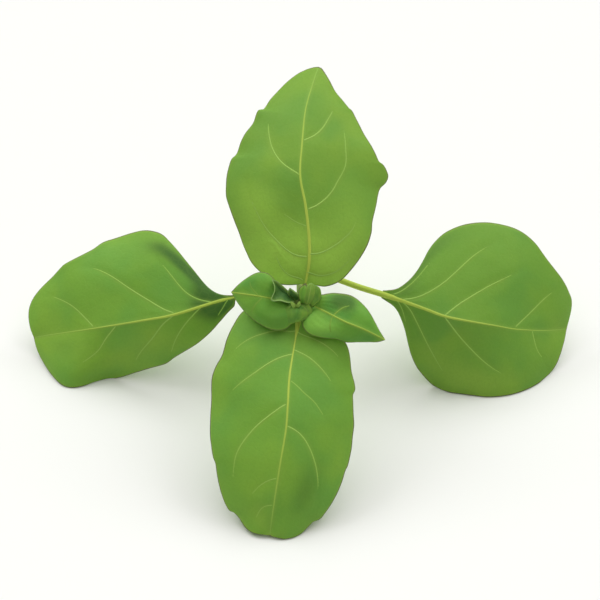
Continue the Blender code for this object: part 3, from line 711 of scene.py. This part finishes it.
grow_leaf(
    leaf_right_shape,
    stalk=[(1.0, 8.9, -24.2), (2.8, 8.8, -24), (6, 8, -23), (11.5, 6, -22), (17, 4, -21.5)],
    rib=[(23.5, 2, -21), (29.5, 0, -20.5), (36.5, -2.5, -20), (42, -4.5, -20), (49.5, -6, -21),
         (56.5, -7.2, -23.5), (63.5, -8.4, -27), (72, -8.8, -32.6), (79.4, -8.4, -38.8)],
    left=[(23.8, 3, -21), (25, 3, -21.1), (28.1, 3.6, -21.5), (31.1, 5.7, -22.6), (33.6, 8.4, -23.7),
          (35.7, 11.7, -24.9), (37.6, 15.1, -26.1), (39.8, 17.8, -27.2), (42.5, 20.1, -28.2),
          (45.9, 21.8, -29.2), (49.6, 22.8, -30.1), (54, 23.2, -31.1), (57.7, 22.9, -31.9),
          (61.4, 22.1, -32.7), (64.5, 20.9, -33.3), (67.6, 18.9, -34.1), (70.1, 16.5, -34.8),
          (72.3, 13.4, -35.7), (74.5, 10.6, -36.5), (76.8, 7.9, -37.3), (78.7, 5.2, -38.3),
          (80, 2.7, -39.1), (80.9, 0.2, -39.4), (80.7, -2.8, -39.5), (79.9, -5.9, -39.2),
          (79.4, -8.4, -38.8)],
    right=[(23.3, 1, -21), (25, -0.1, -21.3), (27.5, -1.9, -22.1), (29.3, -5.2, -23.2),
           (30.6, -8.8, -24.4), (31.5, -12.5, -25.7), (32.5, -16.1, -27.2), (34.1, -19.5, -28.7),
           (36.3, -22.3, -30.1), (38.8, -24.7, -31.5), (41.8, -26.5, -30.2), (44.7, -27.7, -29.4),
           (50.2, -28.3, -28.8), (55.6, -28.5, -28.6), (61.2, -27.9, -29.3), (65.5, -26.8, -30.4),
           (69.9, -25, -32), (73.1, -22.4, -33.9), (75.7, -19.3, -35.3), (77.3, -15.7, -36.5),
           (78.6, -11.6, -37.9), (79.4, -8.4, -38.8)],
    veins=[
        (1, (0.096, -0.06), (0.154, -0.18), (0.217, -0.28), (0.292, -0.38), (0.354, -0.49),
         (0.404, -0.61), (0.442, -0.69), (0.488, -0.78), (0.529, -0.84)),
        (1, (0.308, 0), (0.367, -0.14), (0.438, -0.26), (0.508, -0.38), (0.571, -0.49), (0.617, -0.61)),
        (0.8, (0.667, -0.01), (0.717, -0.19), (0.75, -0.36), (0.783, -0.58), (0.808, -0.75)),
        (0.8, (0.046, -0.29), (0.096, -0.61), (0.158, -0.74), (0.225, -0.76), (0.283, -0.81)),
        (0.9, (0.079, -0.02), (0.146, 0.21), (0.192, 0.39), (0.262, 0.51), (0.338, 0.64), (0.392, 0.75),
         (0.446, 0.84)),
        (1, (0.308, 0), (0.396, 0.2), (0.467, 0.34), (0.542, 0.51), (0.596, 0.62), (0.654, 0.73)),
        (0.6, (0.771, 0), (0.775, 0.16), (0.783, 0.38), (0.808, 0.62)),
        (0.7, (0.062, -0.04), (0.125, 0.66), (0.171, 0.82)),
    ],
    # Painted shade near the foot and along one edge, and painted light on the other half further out.
    shade_and_light_patches=((0.45, 0.7, 0.2, 0.3, 0.45), (0.08, -0.5, 0.10, 0.5, -0.5), (0.25, -0.9, 0.18, 0.15, -0.5),
           (0.08, 0.6, 0.08, 0.5, -0.35), (0.55, 0.8, 0.2, 0.2, 0.3)),
)
put_in_place("leaf_right", leaf_right_shape, [RIGHT_SKIN, STALK_GREEN, VEIN_GREEN], "leaf_right")


# --------------------------------------------------------------------------
# Small pair. Two young leaves beside the bud, still cupped and darker than
# the broad ones. They grow from the stem just above its upper joint.
# --------------------------------------------------------------------------
YOUNG_GREEN = leaf_material("young leaf skin", (0.158, 0.385, 0.047), (0.119, 0.336, 0.051),
                            (0.203, 0.435, 0.054), (0.12, 0.13, 0.05),
                            fresh_and_lit_green=(0.280, 0.580, 0.090), blotch=110.0, net=620.0)
YOUNG_STALK = stalk_material("young midrib", (0.37, 0.54, 0.070), (0.30, 0.47, 0.060), soft=0.0)
YOUNG_VEIN = stalk_material("young side veins", (0.36, 0.54, 0.070), (0.30, 0.47, 0.060),
                            soft=0.0, far=(0.16, 0.34, 0.048))
YOUNG_LOOK = [YOUNG_GREEN, YOUNG_STALK, YOUNG_VEIN]
small_leaf_right_shape = new_shape()
grow_leaf(
    small_leaf_right_shape,
    stalk=[(0.6, -0.7, 3.4), (2.2, -0.7, 4.2)],
    rib=[(3.0, -1.1, 6.0), (4.3, -1.8, 8.2), (5.6, -2.5, 9.6), (8.5, -4, 10.5), (12.5, -6, 11.5),
         (17.5, -8, 11), (23.5, -11, 8.5)],
    left=[(3.1, -0.6, 6.0), (3.8, 0.7, 7.8), (4.8, 1.7, 8.8), (5.9, 1.7, 9.2), (7.5, 2.0, 9.4),
          (9.5, 2.1, 9), (13.5, 1.5, 8.5), (16.5, -0.5, 8.5), (19, -3.5, 8.5), (21.5, -8, 8.5),
          (23.5, -11, 8.5)],
    right=[(2.7, -1.6, 6.0), (1.7, -3.3, 7.4), (0.5, -5, 8), (0.3, -7, 8.6), (1.9, -9.1, 9.2),
           (5.5, -10.2, 9.5), (9.5, -10.5, 9), (12.5, -11.5, 8.5), (16, -11.5, 8.5), (19, -11.5, 8.5),
           (21.5, -11.5, 8.5), (23.5, -11, 8.5)],
    veins=[
        (0.75, (0.34, -0.03), (0.37, -0.22), (0.42, -0.47), (0.50, -0.68)),
        (0.45, (0.33, 0.0), (0.39, 0.38), (0.47, 0.72)),
    ],
    rows=110, cols=80, thick=0.36, stalk_radius=0.6, rib_width=0.36, swell=0.12, arch=0.7, wave=0.3,
    # Painted shade in the dimple on one half, and painted light on the other half, which faces down.
    shade_and_light_patches=((0.40, -0.7, 0.13, 0.35, -1.4), (0.35, 0.6, 0.22, 0.5, 0.7)),
    pleats=5, pleat=0.07, fade=4.0,
)
put_in_place("small_leaf_right", small_leaf_right_shape, YOUNG_LOOK, "small_leaf_right")
small_leaf_left_shape = new_shape()
grow_leaf(
    small_leaf_left_shape,
    stalk=[(-0.8, -0.6, 3.4), (-2.2, -0.6, 4.2)],
    rib=[(-3.0, -0.4, 6.0), (-4.6, 0.1, 8.2), (-6.5, 0.5, 9.2), (-9, 0.8, 10), (-13, 1.5, 11),
         (-16.5, 2, 10), (-20, 2.5, 8)],
    left=[(-2.8, -0.9, 6.0), (-2.5, -2.6, 7.4), (-2.6, -4.6, 8.2), (-3.4, -6.8, 8.8), (-5.5, -8.1, 9.2),
          (-8.8, -7.9, 9.8), (-12.5, -6, 9.5), (-14.5, -4.5, 9), (-16, -3, 8.5), (-18, -0.5, 8),
          (-20, 2.5, 8)],
    right=[(-3.2, 0.2, 6.0), (-4.4, 1.7, 7.8), (-6, 3.4, 8.8), (-7.5, 5.5, 9.5), (-9.5, 7.5, 10),
           (-11.5, 8, 10), (-13.5, 7.5, 9.5), (-16, 6, 9), (-18.5, 4, 8.5), (-20, 2.5, 8)],
    veins=[
        (0.45, (0.51, 0.0), (0.62, -0.37), (0.68, -0.82)),
        (0.40, (0.57, 0.0), (0.67, 0.35), (0.70, 0.77)),
    ],
    rows=110, cols=80, thick=0.36, stalk_radius=0.6, rib_width=0.36, swell=0.12, arch=1.0, wave=0.3,
    # Painted shade on one half and painted light on the other.
    shade_and_light_patches=((0.35, -0.7, 0.2, 0.3, -0.5), (0.55, 0.3, 0.2, 0.4, 0.3)),
    pleats=5, pleat=0.07, fade=4.0,
)
put_in_place("small_leaf_left", small_leaf_left_shape, YOUNG_LOOK, "small_leaf_left")


# --------------------------------------------------------------------------
# Bud. The tip of the stem with its first tiny leaves: three folded ones on the
# right, one cupped like a pocket, dark with painted shade inside and its rim made
# pale as a painted highlight, pleated feet in front, a point behind painted dark
# as shade, and two pale lips. They have grown together with the stem's tip.
# --------------------------------------------------------------------------
BUD_GREEN = leaf_material("bud leaf skin", (0.165, 0.350, 0.050), (0.115, 0.285, 0.046),
                          (0.230, 0.420, 0.055), (0.17, 0.33, 0.06), blotch=260.0, net=900.0)
# Dark green painted as the shade inside the pocket and on the point behind; its pale edge colour is a
# painted highlight along the rim.
BUD_SHADE = leaf_material("pocket leaf painted shade skin", (0.070, 0.175, 0.030), (0.050, 0.150, 0.032),
                         (0.095, 0.215, 0.035), (0.30, 0.48, 0.16), blotch=240.0, net=900.0)
BUD_PALE = stalk_material("pale fold", (0.30, 0.47, 0.09), (0.22, 0.38, 0.06), soft=0.0)
bud_shape = new_shape()
core = [lean(-0.1, -0.5, out) for out in (4.8, 5.4, 6.4, 7.4, 8.0, 8.3)]
core_radii = [radius / 1000 for radius in (1.1, 1.6, 2.2, 2.4, 2.0, 0.8)]
draw_out(bud_shape, core, core_radii, sides=20, finish=1)


def fold_leaf(rib, left, right, finish, rows=64, cols=48, thick=0.3, crease=True, **form):
    """A tiny leaf of the bud; a crease down its middle is drawn as a fine pale tube."""
    steps = 40
    swell = 0.03
    no_vein = 3.0
    proud = 0.00003
    spot_at = blade_sheet(rib, left, right, **{"wave": 0.0, **form})
    samples = [(spot_at(i / steps, 0.0), 0.0 if crease else no_vein) for i in range(steps + 1)]
    if crease:
        line = []
        for place in (i / steps for i in range(steps)):
            line.append(spot_at(place, 0.0) + facing(spot_at, min(place, 0.97), 0.0) * proud)
        radii = [(0.24 - 0.09 * i / (steps - 1)) / 1000 for i in range(steps)]
        draw_out(bud_shape, line, radii, sides=8, finish=2)
    lay_blade(bud_shape, spot_at, samples, rows, cols, thick, swell, finish)


# Folded leaves on the right, one over the other.
fold_leaf(
    [(2.2, -1.4, 8.2), (3.6, 0.4, 10.2), (4.1, 2.4, 11.0), (3.8, 4.5, 11.1)],
    [(1.4, -1.0, 8.2), (2.2, 0.9, 10.0), (2.6, 3.0, 10.8), (3.8, 4.5, 11.1)],
    [(3.0, -1.8, 8.2), (4.8, 0.0, 9.8), (5.3, 1.8, 10.4), (4.9, 3.6, 10.8), (3.8, 4.5, 11.1)],
    0, arch=0.3, crease=False, rows=48, cols=32,
)
fold_leaf(
    [(0.2, -0.6, 8.2), (0.1, 1.2, 10.2), (0.4, 3.2, 10.8), (1.0, 5.0, 10.8)],
    [(-0.5, -0.4, 8.2), (-0.8, 1.4, 9.8), (-0.6, 3.4, 10.5), (1.0, 5.0, 10.8)],
    [(0.9, -0.8, 8.2), (1.2, 1.0, 10.2), (1.6, 3.0, 10.9), (1.0, 5.0, 10.8)],
    1, arch=0.3, crease=False, rows=48, cols=32,
)
fold_leaf(
    [(1.3, -1.0, 8.6), (1.9, 0.8, 10.8), (2.3, 2.9, 11.5), (2.7, 5.1, 11.3)],
    [(0.7, -0.8, 8.4), (0.7, 1.0, 10.2), (1.0, 3.2, 10.9), (1.7, 4.6, 11.1), (2.7, 5.1, 11.3)],
    [(2.0, -1.3, 8.4), (3.1, 0.4, 10.4), (3.7, 2.4, 11.0), (3.6, 4.2, 11.1), (2.7, 5.1, 11.3)],
    0, arch=0.15, wave=0.2, waves=2.0, rows=48, cols=40,
)
# Pocket leaf on the left, hollow, its lower rim turned up; its skin is painted dark as the shade in the
# hollow and its rim pale as a painted highlight.
fold_leaf(
    [(-2.4, 0.6, 7.6), (-4.4, 1.7, 8.9), (-6.4, 3.2, 9.8), (-8.5, 6.0, 11.2)],
    [(-2.2, -0.2, 8.6), (-3.9, -0.5, 10.2), (-6.2, 0.1, 11.6), (-8.1, 0.0, 12.5), (-8.7, 0.7, 12.7),
     (-7.9, 2.5, 12.4), (-7.8, 4.1, 12.0), (-8.5, 6.0, 11.2)],
    [(-2.2, 1.1, 8.2), (-3.9, 2.8, 9.4), (-5.6, 4.4, 10.4), (-7.2, 5.6, 11), (-8.5, 6.0, 11.2)],
    3, arch=-0.25, crease=False,
)
# Pleated foot of the small pair in front, whose sides run in under the two leaves.
fold_leaf(
    [(-1.5, -1.3, 7.8), (-1.5, -2.6, 9.6), (-1.7, -4.2, 9.9), (-2.2, -6.2, 9.2)],
    [(-0.6, -1.0, 8.0), (0.6, -1.4, 9.0), (1.8, -2.8, 9.2), (1.6, -4.6, 9.0), (0.0, -5.6, 8.9),
     (-2.2, -6.2, 9.2)],
    [(-2.4, -1.0, 8.0), (-3.8, -1.4, 9.4), (-5.6, -2.8, 9.4), (-6.0, -5.0, 9.4), (-4.4, -6.8, 9.0),
     (-2.2, -6.2, 9.2)],
    0, arch=0.05, pleats=3, pleat=0.09, cols=80, crease=False,
)
fold_leaf(
    [(0.2, -0.8, 8.0), (1.2, -2.2, 9.0), (1.8, -3.6, 9.2), (2.3, -5.2, 8.8)],
    [(0.7, -0.2, 8.0), (2.0, -1.0, 8.9), (2.9, -2.8, 9.0), (2.3, -5.2, 8.6)],
    [(-0.6, -1.4, 8.1), (-0.4, -3.0, 9.0), (0.5, -4.8, 8.8), (2.3, -5.2, 8.6)],
    0, arch=0.05, pleats=3, pleat=0.05, cols=80, crease=False,
)
# Point behind, painted dark green as shade, then the two pale lips of the pit.
fold_leaf(
    [(-1.0, 0.4, 7.8), (-2.2, 2.0, 9.6), (-3.4, 3.7, 10.4)],
    [(-2.2, 0.4, 7.8), (-4.0, 2.2, 9.4), (-3.4, 3.7, 10.4)],
    [(-0.2, 0.3, 7.8), (-1.2, 2.0, 9.6), (-3.4, 3.7, 10.4)],
    3, arch=0.1, crease=False, rows=40, cols=28,
)
fold_leaf(
    [(-1.7, -1.9, 8.8), (-2.3, -1.2, 9.9), (-3.2, -0.2, 10.4)],
    [(-1.9, -2.1, 8.9), (-2.8, -1.5, 10.1), (-3.2, -0.2, 10.4)],
    [(-1.5, -1.7, 8.7), (-2.0, -0.9, 9.7), (-3.2, -0.2, 10.4)],
    2, arch=0.1, crease=False, rows=30, cols=16,
)
fold_leaf(
    [(-1.6, -1.9, 8.8), (-1.0, -1.1, 9.9), (-0.6, -0.1, 10.3)],
    [(-1.8, -1.8, 8.7), (-1.3, -1.0, 9.7), (-0.6, -0.1, 10.3)],
    [(-1.4, -2.0, 8.9), (-0.6, -1.2, 10.0), (-0.6, -0.1, 10.3)],
    2, arch=0.1, crease=False, rows=30, cols=16,
)
put_in_place("bud", bud_shape, [BUD_GREEN, YOUNG_GREEN, BUD_PALE, BUD_SHADE], "bud")


# --------------------------------------------------------------------------
# Floor, light and camera. A plain white surface, one very broad light overhead
# and three weaker ones behind it, and the photograph's camera, which looks
# down at 45 degrees from the front.
# --------------------------------------------------------------------------
floor_shape = bmesh.new()
bmesh.ops.create_grid(floor_shape, x_segments=1, y_segments=1, size=3.0)
floor_mesh = bpy.data.meshes.new("floor")
floor_shape.to_mesh(floor_mesh)
floor_shape.free()
FLOOR_WHITE = bpy.data.materials.new("white surface")
FLOOR_WHITE.use_nodes = True
floor_look = FLOOR_WHITE.node_tree.nodes["Principled BSDF"].inputs
floor_look["Base Color"].default_value = (0.88, 0.88, 0.88, 1.0)
floor_look["Roughness"].default_value = 0.9
floor_look["Specular IOR Level"].default_value = 0.1
floor_mesh.materials.append(FLOOR_WHITE)
floor = bpy.data.objects.new("floor", floor_mesh)
floor.location.z = -0.0002
bpy.context.scene.collection.objects.link(floor)

sky = bpy.data.worlds.new("studio")
sky.use_nodes = True
tree = sky.node_tree
background = tree.nodes["Background"].inputs
seen = add_node(tree, "LightPath").outputs["Is Camera Ray"]
sky_colour = tint(tree, seen, (0.97, 1.0, 0.60), (1.0, 1.0, 1.0))
sky_strength = ramp(tree, seen, 0.0, 1.0, 0.12, 1.0)
tree.links.new(sky_colour, background["Color"])
tree.links.new(sky_strength, background["Strength"])
bpy.context.scene.world = sky

lamp_distance = 0.9
for name, energy, spread, tilt, turn in (
    ("soft overhead light", 1.65, 100.0, -10.0, 0.0),
    ("back light", 0.45, 34.0, -38.0, 0.0),
    ("left back light", 0.85, 30.0, -42.0, 52.0),
    ("right back light", 0.85, 30.0, -42.0, -52.0),
):
    lamp_data = bpy.data.lights.new(name, "SUN")
    lamp_data.energy = energy
    lamp_data.angle = math.radians(spread)
    lamp = bpy.data.objects.new(name, lamp_data)
    lamp.rotation_euler = (math.radians(tilt), 0.0, math.radians(turn))
    lamp.location = lamp.rotation_euler.to_matrix() @ Vector((0.0, 0.0, lamp_distance))
    bpy.context.scene.collection.objects.link(lamp)

lens = bpy.data.cameras.new("camera")
lens.sensor_width = 36.0
lens.lens = 167.8
camera = bpy.data.objects.new("camera", lens)
aim = Vector((-0.00017, -0.0049, 0.0402))
elevation = math.radians(45.0)
distance = 0.8
camera.location = aim + Vector((0.0, -math.cos(elevation), math.sin(elevation))) * distance
camera.rotation_euler = (math.radians(90.0) - elevation, 0.0, 0.0)
bpy.context.scene.collection.objects.link(camera)
bpy.context.scene.camera = camera
bpy.context.scene.view_settings.view_transform = "Standard"
